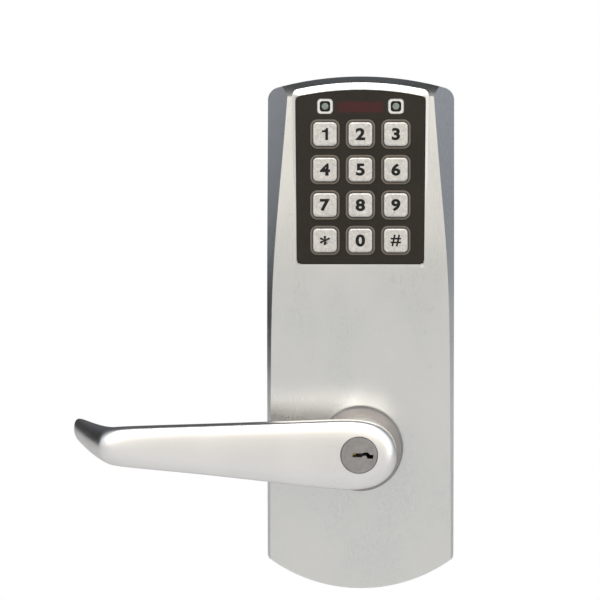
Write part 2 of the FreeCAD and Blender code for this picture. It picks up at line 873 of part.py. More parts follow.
def make_lights():
    """Two status lights: a bright frame pressed into the faceplate, a lens, and a diode on the board."""
    seat = panel_front - D.light_seat
    places = [(x, D.light_height) for x in light_xs]
    outer = [rounded_square(x, z, D.light_frame - 0.04, D.light_frame_corner) for x, z in places]
    inner = [rounded_square(x, z, D.light_well, D.light_well_corner) for x, z in places]
    body = solid("indicator_bezels", outer + inner, seat, panel_front + D.light_frame_stand)
    frame_front = panel_front + D.light_frame_stand
    bevel_edges(body, 0.35, outer_front_edge(frame_front, D.light_frame.value / 2 - 0.1))

    lens_back = panel_back - 0.6
    lens_discs = [circle(x, z, D.lens_radius) for x, z in places]
    body = solid("indicator_lenses", lens_discs, lens_back, panel_front + D.lens_stand)
    pad(body, [circle(x, z, D.lens_radius + 0.6) for x, z in places], lens_back, panel_back)
    round_edges(body, 0.4, at_depth(panel_front + D.lens_stand))

    diodes = [square(x, z, D.light_body) for x, z in places]
    body = solid("indicator_leds", diodes, board_front, lens_back - 0.1)
    bevel_edges(body, 0.2, at_depth(lens_back - 0.1))


def outer_front_edge(depth, reach):
    """Picks front edges that lie at least that far from the middle of their own light."""
    flat = at_depth(depth)

    def chosen(edge):
        if not flat(edge):
            return False
        centre = edge.BoundBox.Center
        middle = D.key_pitch.value if centre.x > 0 else -D.key_pitch.value
        away = max(abs(centre.x - middle), abs(centre.z - D.light_height.value))
        return away > reach - 0.6

    return chosen


KEY_NAMES = (
    "key_1", "key_2", "key_3", "key_4", "key_5", "key_6",
    "key_7", "key_8", "key_9", "key_star", "key_0", "key_hash",
)


def make_keys():
    """Twelve keycaps. Each has a flange behind the faceplate that keeps it from coming out."""
    for name, (x, z) in zip(KEY_NAMES, key_places):
        flange = D.key_size + D.key_flange * 2
        foot = rounded_square(x, z, flange, D.key_corner + D.key_flange)
        body = solid(name, [foot], key_back, panel_back - D.fit_gap)
        pad(body, [rounded_square(x, z, D.key_size, D.key_corner)], panel_back - 0.5, key_front)
        round_edges(body, D.key_crown, at_depth(key_front))


def make_board():
    """Rubber mat, circuit board and what is soldered to it."""
    screws = [circle(x, z, D.board_boss + 0.3) for x, z in board_screws]
    base_front = board_front + D.mat_thick
    body = solid("keypad_mat", [panel_loop(-0.2)], board_front, base_front)
    pad(body, [panel_loop(-0.2), panel_loop(-0.2 - D.mat_rim)], base_front, ledge_back)
    pad(body, [circle(x, z, D.mat_pad_radius) for x, z in key_places], base_front - 0.2, key_back - 0.02)
    dome_pockets = [circle(x, z, D.dome_radius + 0.3) for x, z in key_places]
    cut(body, dome_pockets, board_front, board_front + D.dome_height + 0.1)
    for x, z in board_screws:
        side = 1 if x.value > 0 else -1
        far = x + side * (D.board_boss * 1.5 + 1)
        low, high = (x, far) if side > 0 else (far, x)
        cut(body, [box(low, high, z - D.board_boss - 0.3, z + D.board_boss + 0.3)], 0, ledge_front)
    cut(body, screws, 0, ledge_front)
    cut(body, [square(x, D.light_height, D.light_body + 0.6) for x in light_xs], 0, ledge_front)

    body = solid("keypad_board", [panel_loop(-D.board_inset)], board_back, board_front)
    cut(body, [circle(x, z, D.board_screw_radius + 0.15) for x, z in board_screws], 0, board_front + 1)

    domes = [circle(x, z, D.dome_radius) for x, z in key_places]
    body = solid("dome_switches", domes, board_front, board_front + D.dome_height)
    bevel_edges(body, 0.3, at_depth(board_front + D.dome_height))

    under = board_back - D.chip_thick
    body = solid("board_chips", [square(-D.chip_x, D.chip_height, D.chip_side)], under, board_back)
    pad(body, [square(D.chip_x, D.chip_height + 12, D.chip_side * 0.6)], under + 0.3, board_back)

    wide = D.header_width / 2
    low = D.header_place - D.header_height / 2
    high = D.header_place + D.header_height / 2
    body = solid("board_connector", [box(-wide, wide, low, high)], board_back - D.header_thick, board_back)
    cut(body, [box(-wide + 1, wide - 1, low + 1, high - 1)], board_back - D.header_thick, board_back - 1)

    place = (D.chip_x, D.beeper_height)
    body = solid("beeper", [circle(*place, D.beeper_radius)], board_back - D.beeper_thick, board_back)
    cut(body, [circle(*place, 1)], board_back - D.beeper_thick, board_back - 1)

    head_back = board_back - D.board_screw_head_thick
    heads = [circle(x, z, D.board_screw_head) for x, z in board_screws]
    body = solid("board_screws", heads, head_back, board_back)
    shanks = [circle(x, z, D.board_screw_radius) for x, z in board_screws]
    pad(body, shanks, board_back, head_back + D.board_screw_length)
    for x, z in board_screws:
        cut(body, [cross_loop(x, z, 1.2, 0.25)], head_back - 1, head_back + 0.6)


# ================================================================ lever
def stadium(x, low, high, thick):
    """A loop: an upright bar with full-round ends."""
    radius = as_size(thick) / 2
    return two_circle_hull(x, as_size(low) + radius, radius, x, as_size(high) - radius, radius)


def make_lever():
    """Cast lever: a tapering bar with a full-round edge, whose end turns back towards the door."""
    body = new_body("lever_handle")
    blade_back = D.lever_front - D.blade_thick
    hull = two_circle_hull(0, 0, D.hub_radius, -D.nose_reach, D.nose_rise, D.nose_radius)
    pad(body, [hull], blade_back, D.lever_front)
    round_edges(body, D.blade_round, at_depth(D.lever_front))
    round_edges(body, D.blade_back_round, at_depth(blade_back))
    pad(body, [circle(0, 0, D.neck_radius)], D.hub_back, D.lever_front - D.blade_round)
    round_edges(body, 1.0, at_depth(D.hub_back))
    pad(body, [circle(0, 0, D.spigot_radius)], spigot_back, D.hub_back + 1)
    # the return, as bars at several depths on the way back to the door
    sections = []
    for step in RETURN_STEPS:
        depth, x, low, high, thick = [getattr(D, f"return_{field}_{step}") for field in RETURN_FIELDS]
        sections.append(draw(body, "XZ_Plane", depth, [stadium(-x, low, high, thick)]))
    loft = body.newObject("PartDesign::AdditiveLoft", "lever_return")
    loft.Profile = sections[0]
    loft.Sections = sections[1:]
    DOC.recompute()
    # bores for the sleeve and the key cylinder, and the slot for the cylinder's pin stack
    cut(body, [circle(0, 0, D.sleeve_radius + 0.03)], 0, D.shell_back)
    cut(body, [circle(0, 0, D.shell_radius + 0.02)], 0, D.lever_front + 2)
    reach = D.bible_reach + 0.05
    half = D.bible_half + 0.05
    cut(body, [box(-reach, 0, -half, half)], spigot_back - 1, D.bible_front + 0.05)
    # the push-in catch that keeps the lever on its sleeve comes in from below
    hole = [circle(0, -D.catch_depth, D.catch_radius + 0.03)]
    low = draw(body, "XY_Plane", -D.hub_radius - 2, [circle(0, -D.catch_depth, D.catch_radius + 0.03)])
    drill = body.newObject("PartDesign::Pocket", "catch_hole")
    drill.Profile = low
    drill.Reversed = True
    set_length(drill, D.hub_radius + 2 - D.sleeve_radius + 1)
    DOC.recompute()

    body = new_body("lever_catch")
    hole = [circle(0, -D.catch_depth, D.catch_radius)]
    pad(body, hole, -D.neck_radius + 0.6, -D.catch_foot, "XY_Plane")


def make_sleeve():
    """Steel tube the lever turns on, its bush in the housing, the washer, the clip and the collar."""
    body = new_body("lever_sleeve")
    turned(body, ring_profile(D.sleeve_bore, D.sleeve_radius, D.sleeve_back, D.sleeve_front))
    groove = clip_back - 0.02
    groove_floor = D.sleeve_radius - D.clip_groove
    groove_loop = ring_profile(groove_floor, D.sleeve_radius + 1, groove, clip_front + 0.02)
    turned(body, groove_loop, "PartDesign::Groove")
    half = D.pawl_width / 2 + D.fit_gap
    thick_back, thick_front = pawl_depths()
    cut(body, [box(-half, half, 0, D.sleeve_radius + 2)], thick_back - D.fit_gap, thick_front + D.fit_gap)
    cut(body, [circle(0, -D.catch_depth, D.catch_radius + 0.03)], -D.sleeve_radius - 2, 0, "XY_Plane")

    body = new_body("lever_bush")
    turned(body, ring_profile(D.sleeve_radius + D.fit_gap, D.bush_radius, D.bush_back, D.collar_seat + 0.5))
    flange = ring_profile(D.sleeve_radius + D.fit_gap, D.bush_flange_radius, D.collar_seat, washer_back)
    turned(body, flange)

    body = new_body("thrust_washer")
    washer_front = washer_back + D.washer_thick
    turned(body, ring_profile(D.sleeve_radius + 0.1, D.washer_radius, washer_back, washer_front))

    body = new_body("sleeve_clip")
    turned(body, ring_profile(D.sleeve_radius - D.clip_groove + 0.06, D.clip_radius, clip_back, clip_front))
    cut(body, [box(-D.clip_gap / 2, D.clip_gap / 2, -D.clip_radius - 1, 0)], 0, clip_front + 1)

    body = new_body("lever_collar")
    turned(body, ring_profile(D.collar_bore, D.collar_radius, D.collar_seat, D.collar_front))
    bevel_edges(body, D.collar_bevel, collar_rim)


def collar_rim(edge):
    return at_depth(D.collar_front)(edge) and edge.BoundBox.XLength > D.collar_radius.value * 1.9


def pawl_depths():
    """The clutch pin's back and front, in the middle of the driver."""
    back = D.sleeve_back + (D.driver_thick - D.pawl_thick) / 2
    return back, back + D.pawl_thick


def make_clutch():
    """Driver on the lever's sleeve, follower on the spindle, the pin between them and what moves the pin."""
    back, front = pawl_depths()
    half = D.pawl_width / 2
    gap = D.fit_gap
    body = new_body("clutch_driver")
    rings = [circle(0, 0, D.driver_radius), circle(0, 0, D.sleeve_radius + 0.03)]
    pad(body, rings, D.sleeve_back, driver_front)
    lug = ring_piece(D.driver_radius - 1, D.lug_radius, 270 - D.lug_half, 270 + D.lug_half)
    pad(body, [lug], D.sleeve_back, driver_front)
    cut(body, [box(-half - gap, half + gap, 0, D.driver_radius + 2)], back - gap, front + gap)

    body = solid("clutch_pin", [box(-half, half, D.pawl_inner, D.pawl_outer)], back, front)
    bevel_edges(body, 0.4, upright_corners(0, 50, 0.5))

    body = solid("clutch_follower", [circle(0, 0, D.journal_radius)], D.gasket_thick + 0.1, plate_front + 0.2)
    flange_front = plate_front + 0.1 + D.follower_flange_thick
    pad(body, [circle(0, 0, D.follower_flange_radius)], plate_front + 0.1, flange_front)
    pad(body, [circle(0, 0, D.follower_radius)], flange_front - 0.2, D.follower_front)
    notch = box(-half - gap, half + gap, D.pawl_inner - 0.2, D.follower_radius + 1)
    cut(body, [notch], back - 0.2, D.follower_front + 1)
    cut(body, [circle(0, 0, D.follower_recess)], D.tail_end - 0.2, D.follower_front + 1)
    cut(body, [square(0, 0, D.spindle_side + 0.06)], 0, D.spindle_front + 0.02)

    side = D.spindle_side
    body = solid("spindle", [square(0, 0, side)], D.spindle_front - D.spindle_length, D.spindle_front)
    bevel_edges(body, 0.8, at_depth(D.spindle_front - D.spindle_length))

    # the shifter's shoe keeps the pin pushed in through the lever's whole turn
    body = new_body("shifter")
    shoe = ring_piece(D.pawl_outer + D.pawl_gap, D.pawl_outer + D.pawl_gap + D.shoe_height, 78, 160)
    pad(body, [shoe], back, front)
    arm_low = D.pawl_outer + D.pawl_gap + D.shoe_height - 0.8
    pad(body, [box(-D.shoe_half, D.shoe_half, arm_low, D.nut_foot + 1)], back, front)
    nut = box(-D.nut_half, D.nut_half, -screw_depth - D.nut_half, -screw_depth + D.nut_half)
    pad(body, [nut], D.nut_foot, D.nut_foot + D.nut_height, "XY_Plane")
    hole = [circle(0, -screw_depth, D.screw_radius + 0.05)]
    cut(body, hole, D.nut_foot - 4, D.nut_foot + D.nut_height + 1, "XY_Plane")

    body = new_body("drive_screw")
    screw_low = D.motor_foot - D.screw_length
    screw_high = D.motor_foot - 0.1
    pad(body, [circle(0, -screw_depth, D.screw_radius)], screw_low, screw_high, "XY_Plane")
    pad(body, [circle(0, -screw_depth, D.screw_radius + 0.9)], screw_high - 1.0, screw_high, "XY_Plane")
    bevel_edges(body, 0.3, lambda edge: edge.BoundBox.ZMax < (D.motor_foot - D.screw_length).value + 1e-4)

    half = D.motor_width / 2
    body = new_body("clutch_motor")
    shape = box(-half, half, -screw_depth - D.motor_depth / 2, -screw_depth + D.motor_depth / 2)
    pad(body, [shape], D.motor_foot, D.motor_foot + D.motor_length, "XY_Plane")
    round_edges(body, 2.0, lambda edge: edge.BoundBox.ZLength > D.motor_length.value - 0.1)

    # a strap over the motor's back with an ear screwed to the housing at each side
    strap_back = D.motor_back - D.bracket_thick
    low = D.bracket_ear_height - 4
    high = D.bracket_ear_height + 4
    reach = D.bracket_ear + 3.4
    body = solid("motor_bracket", [box(-reach, reach, low, high)], strap_back, D.motor_back)
    cut(body, [circle(x, z, D.plate_screw_radius + 0.1) for x, z in bracket_screws], 0, D.motor_back + 1)
    heads = [circle(x, z, D.plate_screw_head) for x, z in bracket_screws]
    body = solid("bracket_screws", heads, strap_back - 1.0, strap_back)
    pad(body, [circle(x, z, D.plate_screw_radius) for x, z in bracket_screws], strap_back, strap_back + 7)


screw_depth = D.motor_back + D.motor_depth / 2


def make_stop_and_spring():
    """The fixed stop for the driver's lug, and the coil spring that brings the lever back up."""
    back = plate_front
    ring = [circle(0, 0, D.stop_outer), circle(0, 0, D.follower_flange_radius + 0.6)]
    body = solid("stop_plate", ring, back, back + 1.4)
    rest_edge = 270 - D.lug_half - 0.4
    turn_edge = 270 + D.lug_half + D.lever_travel + 0.6
    inner = D.driver_radius + 0.4
    blocks = [ring_piece(inner, D.stop_outer, first, last) for first, last in (
        (rest_edge - 14, rest_edge), (turn_edge, turn_edge + 14))]
    pad(body, blocks, back + 1, driver_front)

    body = new_body("return_spring")
    mean = D.hub_tube_radius + D.spring_gap + D.spring_wire / 2
    start = D.spring_back + D.spring_wire / 2
    profile = draw(body, "YZ_Plane", 0, [circle(-start, mean, D.spring_wire / 2)])
    coil = body.newObject("PartDesign::AdditiveHelix", "coil")
    coil.Profile = profile
    coil.ReferenceAxis = (profile, ["H_Axis"])
    coil.Mode = "pitch-turns-angle"
    coil.Pitch = D.spring_pitch.value
    coil.setExpression("Pitch", D.spring_pitch.text)
    coil.Turns = D.spring_turns.value
    coil.setExpression("Turns", D.spring_turns.text)
    coil.Reversed = True
    DOC.recompute()


# ================================================================ key cylinder in the lever's hub
pin_depths = [D.pin_first + D.pin_pitch * i for i in range(5)]


def make_cylinder():
    """Five-pin cylinder. Its pins come in from the lever's side of the hub, so the keyway lies level."""
    body = solid("cylinder_shell", [circle(0, 0, D.shell_radius)], D.shell_back, D.shell_front)
    pad(body, [box(-D.bible_reach, 0, -D.bible_half, D.bible_half)], D.shell_back, D.bible_front)
    bevel_edges(body, 0.4, at_depth(D.shell_front))
    cut(body, [circle(0, 0, D.plug_radius + D.fit_gap)], 0, D.shell_front + 1)
    chambers = [circle(-u, 0, D.pin_radius + D.fit_gap) for u in pin_depths]
    cut(body, chambers, -D.pin_top, 0, "YZ_Plane")

    body = solid("key_plug", [circle(0, 0, D.plug_radius)], D.plug_back, D.plug_front)
    cut(body, [keyway_loop()], 0, D.plug_front + 1)
    slot_wide = D.tail_half_width + 0.03
    slot_half = D.tail_half_thick + 0.03
    tail_slot = box(-slot_wide, slot_wide, -slot_half, slot_half)
    cut(body, [tail_slot], D.plug_back, D.plug_back + D.tail_seat)
    cut(body, chambers, -D.plug_radius - 1, 0, "YZ_Plane")
    groove = ring_profile(D.plug_radius - 0.7, D.plug_radius + 1, D.plug_back + 0.15, D.shell_back - 0.05)
    turned(body, groove, "PartDesign::Groove")

    shear = D.plug_radius
    ends = [circle(-u, 0, D.pin_radius) for u in pin_depths]
    body = new_body("driver_pins")
    pad(body, ends, -shear - D.fit_gap - D.driver_pin_length, -shear - D.fit_gap, "YZ_Plane")
    body = new_body("key_pins")
    pad(body, ends, -shear + D.fit_gap * 2, -D.key_pin_tip, "YZ_Plane")
    body = new_body("pin_springs")
    spring_low = shear + D.fit_gap * 2 + D.driver_pin_length
    wall = [circle(-u, 0, D.pin_radius - 0.1) for u in pin_depths]
    wall += [circle(-u, 0, D.pin_radius - 0.5) for u in pin_depths]
    pad(body, wall, -D.pin_top + 0.05, -spring_low, "YZ_Plane")

    body = new_body("plug_clip")
    clip_bore = D.plug_radius - 0.66
    turned(body, ring_profile(clip_bore, D.plug_radius + 1.4, D.plug_back + 0.2, D.shell_back - 0.1))
    cut(body, [box(-1.5, 1.5, 0, D.plug_radius + 3)], 0, D.shell_back + 1)

    body = new_body("cylinder_retainer")
    retainer_back = D.sleeve_front + 0.05
    ring_outer = D.sleeve_radius - 0.05
    turned(body, ring_profile(D.plug_radius + 1.8, ring_outer, retainer_back, D.shell_back - 0.05))

    wide = D.tail_half_width
    half = D.tail_half_thick
    solid("tailpiece", [box(-wide, wide, -half, half)], D.tail_end, D.plug_back + D.tail_seat - 0.05)


def keyway_loop():
    """A loop: the keyway, whose outer half steps up and down past the wards."""
    out = D.plug_radius + 1
    inn = -D.keyway_inner
    h = D.keyway_half
    step = h * 0.75
    return polygon(
        (inn, -h), (1.0, -h), (1.7, -h + step), (3.1, -h + step), (3.8, -h - step), (out, -h - step),
        (out, h - step), (4.9, h - step), (4.2, h + step * 0.6), (2.2, h + step * 0.6), (1.5, h), (inn, h),
    )


for make in (
    make_housing,
    make_back,
    make_faceplate,
    make_lights,
    make_keys,
    make_board,
    make_lever,
    make_sleeve,
    make_clutch,
    make_stop_and_spring,
    make_cylinder,
):
    make()


# ---------------------------------------------------------------- check and write
DOC.recompute()
for item in DOC.Objects:
    if "Invalid" in item.State or "Error" in item.State:
        raise RuntimeError(f"{item.Label} did not compute: {item.State}")
os.makedirs("parts", exist_ok=True)
for name, body in BODIES.items():
    shape = body.Shape
    if shape.isNull() or not shape.isValid() or not shape.Solids:
        raise RuntimeError(f"{name} has no valid solid")
    shape.exportStep(f"parts/{name}.step")
print(len(BODIES), "parts written")
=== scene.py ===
"""The outside half of a keypad door lock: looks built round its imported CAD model."""

import math

import bmesh
import bpy
from mathutils import Matrix, Vector


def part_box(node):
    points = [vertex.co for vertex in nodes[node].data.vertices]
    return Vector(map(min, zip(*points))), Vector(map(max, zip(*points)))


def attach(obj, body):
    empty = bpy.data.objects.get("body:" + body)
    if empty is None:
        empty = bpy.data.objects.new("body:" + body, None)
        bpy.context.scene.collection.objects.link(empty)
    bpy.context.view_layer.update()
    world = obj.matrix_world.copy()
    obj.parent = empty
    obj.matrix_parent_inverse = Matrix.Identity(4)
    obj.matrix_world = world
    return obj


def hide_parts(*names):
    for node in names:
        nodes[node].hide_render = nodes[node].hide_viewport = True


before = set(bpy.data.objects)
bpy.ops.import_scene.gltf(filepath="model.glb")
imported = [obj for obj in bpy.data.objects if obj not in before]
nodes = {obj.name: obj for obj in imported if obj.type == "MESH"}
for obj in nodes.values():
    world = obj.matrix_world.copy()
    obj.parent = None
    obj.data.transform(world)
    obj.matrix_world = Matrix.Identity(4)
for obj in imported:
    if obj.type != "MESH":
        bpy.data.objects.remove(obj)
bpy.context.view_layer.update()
MM = 0.001
scene = bpy.context.scene
scene.view_settings.view_transform = "Standard"


# ---------------------------------------------------------------- camera
# A long lens a little above and to the right of the lock's middle, square on to the door,
# as a catalogue camera stands. The lock fills the frame's height.
aim = Vector((-28.2, -25.0, 69.2)) * MM
azimuth, elevation = math.radians(1.7), math.radians(2.8)
back = Vector(
    (math.sin(azimuth) * math.cos(elevation), -math.cos(azimuth) * math.cos(elevation), math.sin(elevation))
)
lens = bpy.data.cameras.new("camera")
lens.lens = 231.8
lens.sensor_width = 36.0
camera = bpy.data.objects.new("camera", lens)
scene.collection.objects.link(camera)
camera.rotation_mode = "QUATERNION"
camera.location = aim + back * 1.8
camera.rotation_quaternion = (-back).to_track_quat("-Z", "Y")
lens.clip_start, lens.clip_end = 0.05, 50.0
scene.camera = camera


# ---------------------------------------------------------------- housing
# Zinc die casting, ground and brushed up and down, then plated in satin chrome.
# It keeps its CAD shape; the finish has the brush's fine strokes, a faint cloudiness and softer bright patches.
class Wire:
    """A changing value inside a finish. Arithmetic on it adds the Math nodes that work it out."""

    def __init__(self, finish, socket):
        self.finish = finish
        self.socket = socket

    def maths(self, operation, first, second):
        return self.finish.add("ShaderNodeMath", {"operation": operation}, {0: first, 1: second})

    def __add__(self, other):
        return self.maths("ADD", self, other)

    def __radd__(self, other):
        return self.maths("ADD", other, self)

    def __sub__(self, other):
        return self.maths("SUBTRACT", self, other)

    def __rsub__(self, other):
        return self.maths("SUBTRACT", other, self)

    def __mul__(self, other):
        return self.maths("MULTIPLY", self, other)

    def __rmul__(self, other):
        return self.maths("MULTIPLY", other, self)

    def __pow__(self, other):
        return self.maths("POWER", self, other)


class Finish:
    """A material: a Principled shader with plain values on its sockets and Wires for what changes."""

    def __init__(self, name, **plain):
        self.material = bpy.data.materials.new(name)
        self.material.use_nodes = True
        self.tree = self.material.node_tree
        self.shader = next(n for n in self.tree.nodes if n.type == "BSDF_PRINCIPLED")
        for socket, value in plain.items():
            self.shader.inputs[socket.replace("_", " ")].default_value = value

    def add(self, kind, settings=None, values=None, output=0):
        node = self.tree.nodes.new(kind)
        for key, value in (settings or {}).items():
            if key == "stops":
                ramp = node.color_ramp
                while len(ramp.elements) < len(value):
                    ramp.elements.new(0.5)
                for element, (place, colour) in zip(ramp.elements, value):
                    element.position = place
                    element.color = (*colour, 1.0)
            else:
                setattr(node, key, value)
        for key, value in (values or {}).items():
            if isinstance(value, Wire):
                self.tree.links.new(value.socket, node.inputs[key])
            else:
                node.inputs[key].default_value = value
        return Wire(self, node.outputs[output])

    def place(self, scale=(1.0, 1.0, 1.0)):
        """Object coordinates, stretched."""
        where = self.add("ShaderNodeTexCoord", output="Object")
        return self.add("ShaderNodeMapping", None, {"Vector": where, "Scale": scale})

    def noise(self, scale, detail=2.0, stretch=(1.0, 1.0, 1.0), roughness=0.5):
        where = self.place(scale=stretch)
        values = {"Vector": where, "Scale": scale, "Detail": detail, "Roughness": roughness}
        return self.add("ShaderNodeTexNoise", None, values)

    def mix(self, amount, first, second):
        """A colour between two others."""
        settings = {"data_type": "RGBA"}
        values = {0: amount, 6: first, 7: second}
        return self.add("ShaderNodeMix", settings, values, output=2)

    def feed(self, **wires):
        for socket, wire in wires.items():
            self.tree.links.new(wire.socket, self.shader.inputs[socket.replace("_", " ")])

    def bump(self, height, distance, strength=1.0):
        values = {"Height": height, "Distance": distance, "Strength": strength}
        self.feed(Normal=self.add("ShaderNodeBump", None, values))

    def coat_nodes(self, *names):
        for name in names:
            nodes[name].data.materials.clear()
            nodes[name].data.materials.append(self.material)


def satin_chrome(name, light, dark, smooth, strokes, grain_scale=(2600.0, 2600.0, 60.0)):
    """Plated metal with a brushed grain, which runs up and down unless its scale says otherwise."""
    finish = Finish(name, Metallic=1.0)
    grain = finish.noise(1.0, 3.0, stretch=grain_scale)
    cloud = finish.noise(38.0, 3.0, stretch=(1.0, 1.0, 0.55))
    speck = finish.noise(900.0, 2.0)
    finish.feed(
        Base_Color=finish.mix(cloud * 0.7 + speck * 0.3, (*dark, 1.0), (*light, 1.0)),
        Roughness=smooth + (grain - 0.5) * strokes + (cloud - 0.5) * 0.10,
    )
    finish.bump(grain * 0.7 + speck * 0.3, 0.000012)
    return finish


housing_finish = satin_chrome("satin_chrome_housing", (0.80, 0.785, 0.76), (0.64, 0.655, 0.64), 0.30, 0.14)
housing_finish.coat_nodes("front_housing")


# ---------------------------------------------------------------- keypad faceplate
# Injection-moulded plate in dark brown-black plastic, with a fine spark-eroded texture, collars round the keys
# coloured lighter as a painted highlight, and a dim red window between the lights. A thin black seal bonds it to
# the housing's ledge.
plate_finish = Finish("dark_moulded_plate", Metallic=0.0, Specular_IOR_Level=0.22)
grit = plate_finish.noise(1500.0, 2.0)
drift = plate_finish.noise(45.0, 2.0)
where = plate_finish.place(scale=(1000.0, 1000.0, 1000.0))
across = plate_finish.add("ShaderNodeSeparateXYZ", None, {"Vector": where}, output="X")
out_of_door = plate_finish.add("ShaderNodeSeparateXYZ", None, {"Vector": where}, output="Y")
height = plate_finish.add("ShaderNodeSeparateXYZ", None, {"Vector": where}, output="Z")
# painted highlight: the raised collars round the keys are coloured light brown for the glint along their rims
raised = plate_finish.add("ShaderNodeMapRange", None, {0: out_of_door, 1: -31.55, 2: -31.75, 3: 0.0, 4: 1.0})
off_x = plate_finish.add("ShaderNodeMath", {"operation": "ABSOLUTE"}, {0: across})
off_z = plate_finish.add("ShaderNodeMath", {"operation": "ABSOLUTE"}, {0: height - 159.0})
soft = {"interpolation_type": "SMOOTHSTEP"}
in_x = plate_finish.add("ShaderNodeMapRange", soft, {0: off_x, 1: 11.8, 2: 9.0, 3: 0.0, 4: 1.0})
in_z = plate_finish.add("ShaderNodeMapRange", soft, {0: off_z, 1: 3.4, 2: 1.6, 3: 0.0, 4: 1.0})
ground_colour = plate_finish.mix(drift * 0.5 + grit * 0.5, (0.006, 0.0045, 0.003, 1.0), (0.028, 0.022, 0.015, 1.0))
window_colour = plate_finish.mix(in_x * in_z * 0.7, ground_colour, (0.055, 0.010, 0.011, 1.0))
plate_finish.feed(
    Base_Color=plate_finish.mix(raised * 0.9, window_colour, (0.17, 0.145, 0.118, 1.0)),
    Roughness=0.46 + (grit - 0.5) * 0.22 + (drift - 0.5) * 0.12,
)
plate_finish.bump(grit, 0.00003)
plate_finish.coat_nodes("keypad_faceplate")

seal_finish = Finish("black_seal", Metallic=0.0)
pores = seal_finish.noise(1200.0, 2.0)
seal_finish.feed(
    Base_Color=seal_finish.mix(pores, (0.012, 0.012, 0.012, 1.0), (0.030, 0.030, 0.030, 1.0)),
    Roughness=0.75 + (pores - 0.5) * 0.2,
)
seal_finish.bump(pores, 0.00004)
seal_finish.coat_nodes("panel_seal", "door_gasket", "cable_grommet")


# ---------------------------------------------------------------- keys
# Twelve zinc keycaps, blasted to a fine sparkle and plated. Each slides in its own collar.
key_finish = Finish("blasted_key_metal", Metallic=1.0)
sparkle = key_finish.noise(1500.0, 2.0)
patch = key_finish.noise(420.0, 2.0)
out_of_door = key_finish.add("ShaderNodeSeparateXYZ", None, {"Vector": key_finish.place()}, output="Y")
# painted shade: each key's sloping skirt below its crown is coloured dark brown for the shade it turns into
skirt_painted_shade = key_finish.add("ShaderNodeMapRange", None, {0: out_of_door, 1: -0.0329, 2: -0.0325, 3: 0.0, 4: 0.85})
crown_colour = key_finish.mix(sparkle * 0.6 + patch * 0.4, (0.22, 0.21, 0.195, 1.0), (0.98, 0.96, 0.92, 1.0))
key_finish.feed(
    Base_Color=key_finish.mix(skirt_painted_shade, crown_colour, (0.16, 0.14, 0.12, 1.0)),
    Roughness=0.44 + (sparkle - 0.5) * 0.3,
)
key_finish.bump(sparkle, 0.00004)
KEYS = (
    "key_1", "key_2", "key_3", "key_4", "key_5", "key_6", "key_7", "key_8", "key_9", "key_star", "key_0",
    "key_hash",
)
key_finish.coat_nodes(*KEYS)


# ---------------------------------------------------------------- key legends
# Black figures filled into each keycap: plain digits, a star and a hash.
legend_finish = Finish("black_key_paint", Metallic=0.0, Specular_IOR_Level=0.15)
film = legend_finish.noise(700.0, 2.0)
legend_finish.feed(
    Base_Color=legend_finish.mix(film, (0.006, 0.006, 0.006, 1.0), (0.018, 0.017, 0.016, 1.0)),
    Roughness=0.5 + (film - 0.5) * 0.2,
)


def lettered(sign, bold):
    """A figure of the plain font as a thin mesh."""
    text = bpy.data.curves.new("legend", "FONT")
    text.body = sign
    text.size = 1.0
    text.align_x = "LEFT"
    text.resolution_u = 6
    text.offset = bold
    text.extrude = 0.01
    holder = bpy.data.objects.new("legend", text)
    scene.collection.objects.link(holder)
    bpy.context.view_layer.update()
    mesh = bpy.data.meshes.new_from_object(holder)
    bpy.data.objects.remove(holder)
    return mesh


def flagged_one():
    """The figure 1 as an upright with a flag at its head."""
    corners = (
        (0.34, 0), (0.56, 0), (0.56, 1), (0.40, 1), (0.33, 0.88),
        (0.22, 0.82), (0.06, 0.79), (0.06, 0.64), (0.34, 0.64),
    )
    made = bmesh.new()
    verts = [made.verts.new((x, y, -0.01)) for x, y in corners]
    edges = [made.edges.new((a, b)) for a, b in zip(verts, verts[1:] + verts[:1])]
    face = bmesh.ops.edgeloop_fill(made, edges=edges)["faces"]
    grown = bmesh.ops.extrude_face_region(made, geom=face)["geom"]
    bmesh.ops.translate(made, vec=(0, 0, 0.02), verts=[g for g in grown if isinstance(g, bmesh.types.BMVert)])
    bmesh.ops.recalc_face_normals(made, faces=made.faces)
    mesh = bpy.data.meshes.new("legend")
    made.to_mesh(mesh)
    made.free()
    return mesh


def legend(name, mesh, height, widen):
    """One figure as a thin raised mesh on the middle of its key's face."""
    low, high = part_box(name)
    xs = [v.co.x for v in mesh.vertices]
    ys = [v.co.y for v in mesh.vertices]
    middle = Vector(((min(xs) + max(xs)) / 2, (min(ys) + max(ys)) / 2, 0))
    size = height / (max(ys) - min(ys))
    centre = (low + high) / 2
    mesh.transform(
        Matrix.Translation((centre.x, low.y - 0.00002, centre.z))
        @ Matrix.Rotation(math.radians(90), 4, "X")
        @ Matrix.Diagonal((size * widen, size, 0.003, 1.0))
        @ Matrix.Translation(-middle)
    )
    figure = bpy.data.objects.new("legend_" + name[4:], mesh)
    scene.collection.objects.link(figure)
    mesh.materials.append(legend_finish.material)
    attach(figure, name)
    return figure


for key, sign in zip(KEYS, "123456789*0#"):
    if sign == "1":
        legend(key, flagged_one(), 5.6 * MM, 1.05)
    elif sign == "*":
        legend(key, lettered(sign, 0.02), 4.4 * MM, 1.2)
    elif sign == "#":
        legend(key, lettered(sign, 0.02), 5.4 * MM, 1.05)
    else:
        legend(key, lettered(sign, 0.042), 5.7 * MM, 1.18)


# ---------------------------------------------------------------- status lights
# Bright-plated frames pressed into the faceplate, each round a smoked lens with a diode behind it.
bezel_finish = Finish("bright_light_frame", Metallic=1.0)
wipe = bezel_finish.noise(500.0, 2.0)
bezel_finish.feed(
    Base_Color=bezel_finish.mix(wipe, (0.86, 0.86, 0.85, 1.0), (0.97, 0.97, 0.96, 1.0)),
    Roughness=0.22 + (wipe - 0.5) * 0.12,
)
bezel_finish.coat_nodes("indicator_bezels")

